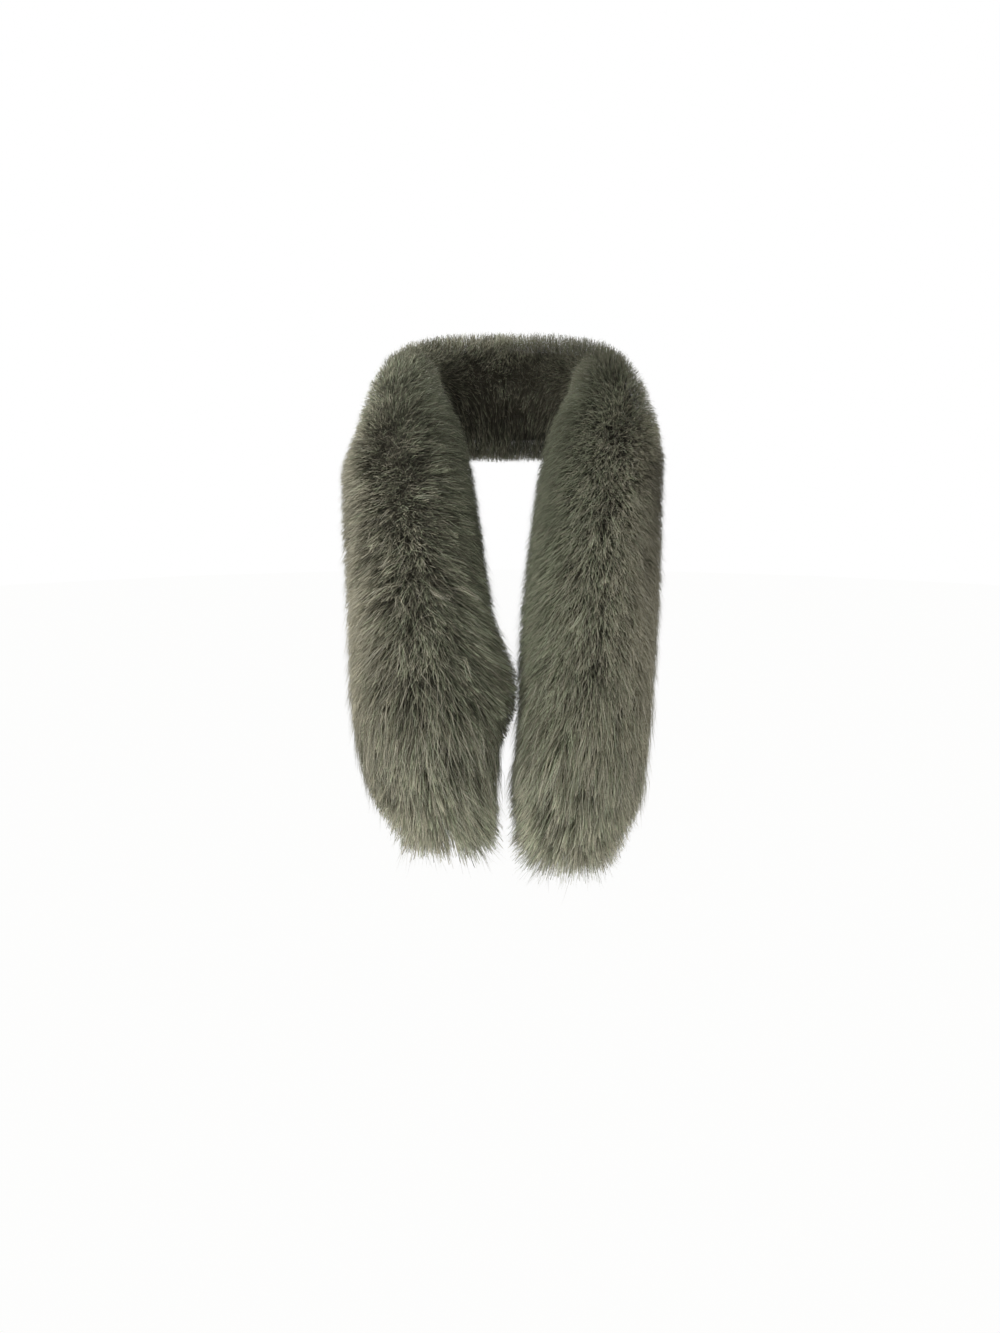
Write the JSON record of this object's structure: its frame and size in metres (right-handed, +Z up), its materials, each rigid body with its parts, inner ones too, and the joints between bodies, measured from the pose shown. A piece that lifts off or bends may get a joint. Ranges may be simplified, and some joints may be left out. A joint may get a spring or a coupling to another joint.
{
  "type": "fur collar wrap",
  "caption": "Long-haired fur band worn round the neck, joined at the centre back, with both round brush-like ends hanging on the chest.",
  "frame": {"origin": "where the band rests on the wearer's nape, on the inner face of its centre back", "axes": "+Z up the wearer's body, -Y the way the wearer faces, -X the wearer's right"},
  "size_m": [0.2303, 0.3333, 0.3363],
  "materials": {
    "fur_pile": "long soft olive-taupe fur, shaded dark at its roots",
    "guard_hair": "long silky guard hairs with pale taupe tips",
    "underwool": "dense dull underwool on the skin's leather"
  },
  "bodies": {
    "root": {"right_skin": "fur_pile", "left_skin": "fur_pile", "right_end_locks": "guard_hair", "left_end_locks": "guard_hair"}
  },
  "joints": []
}
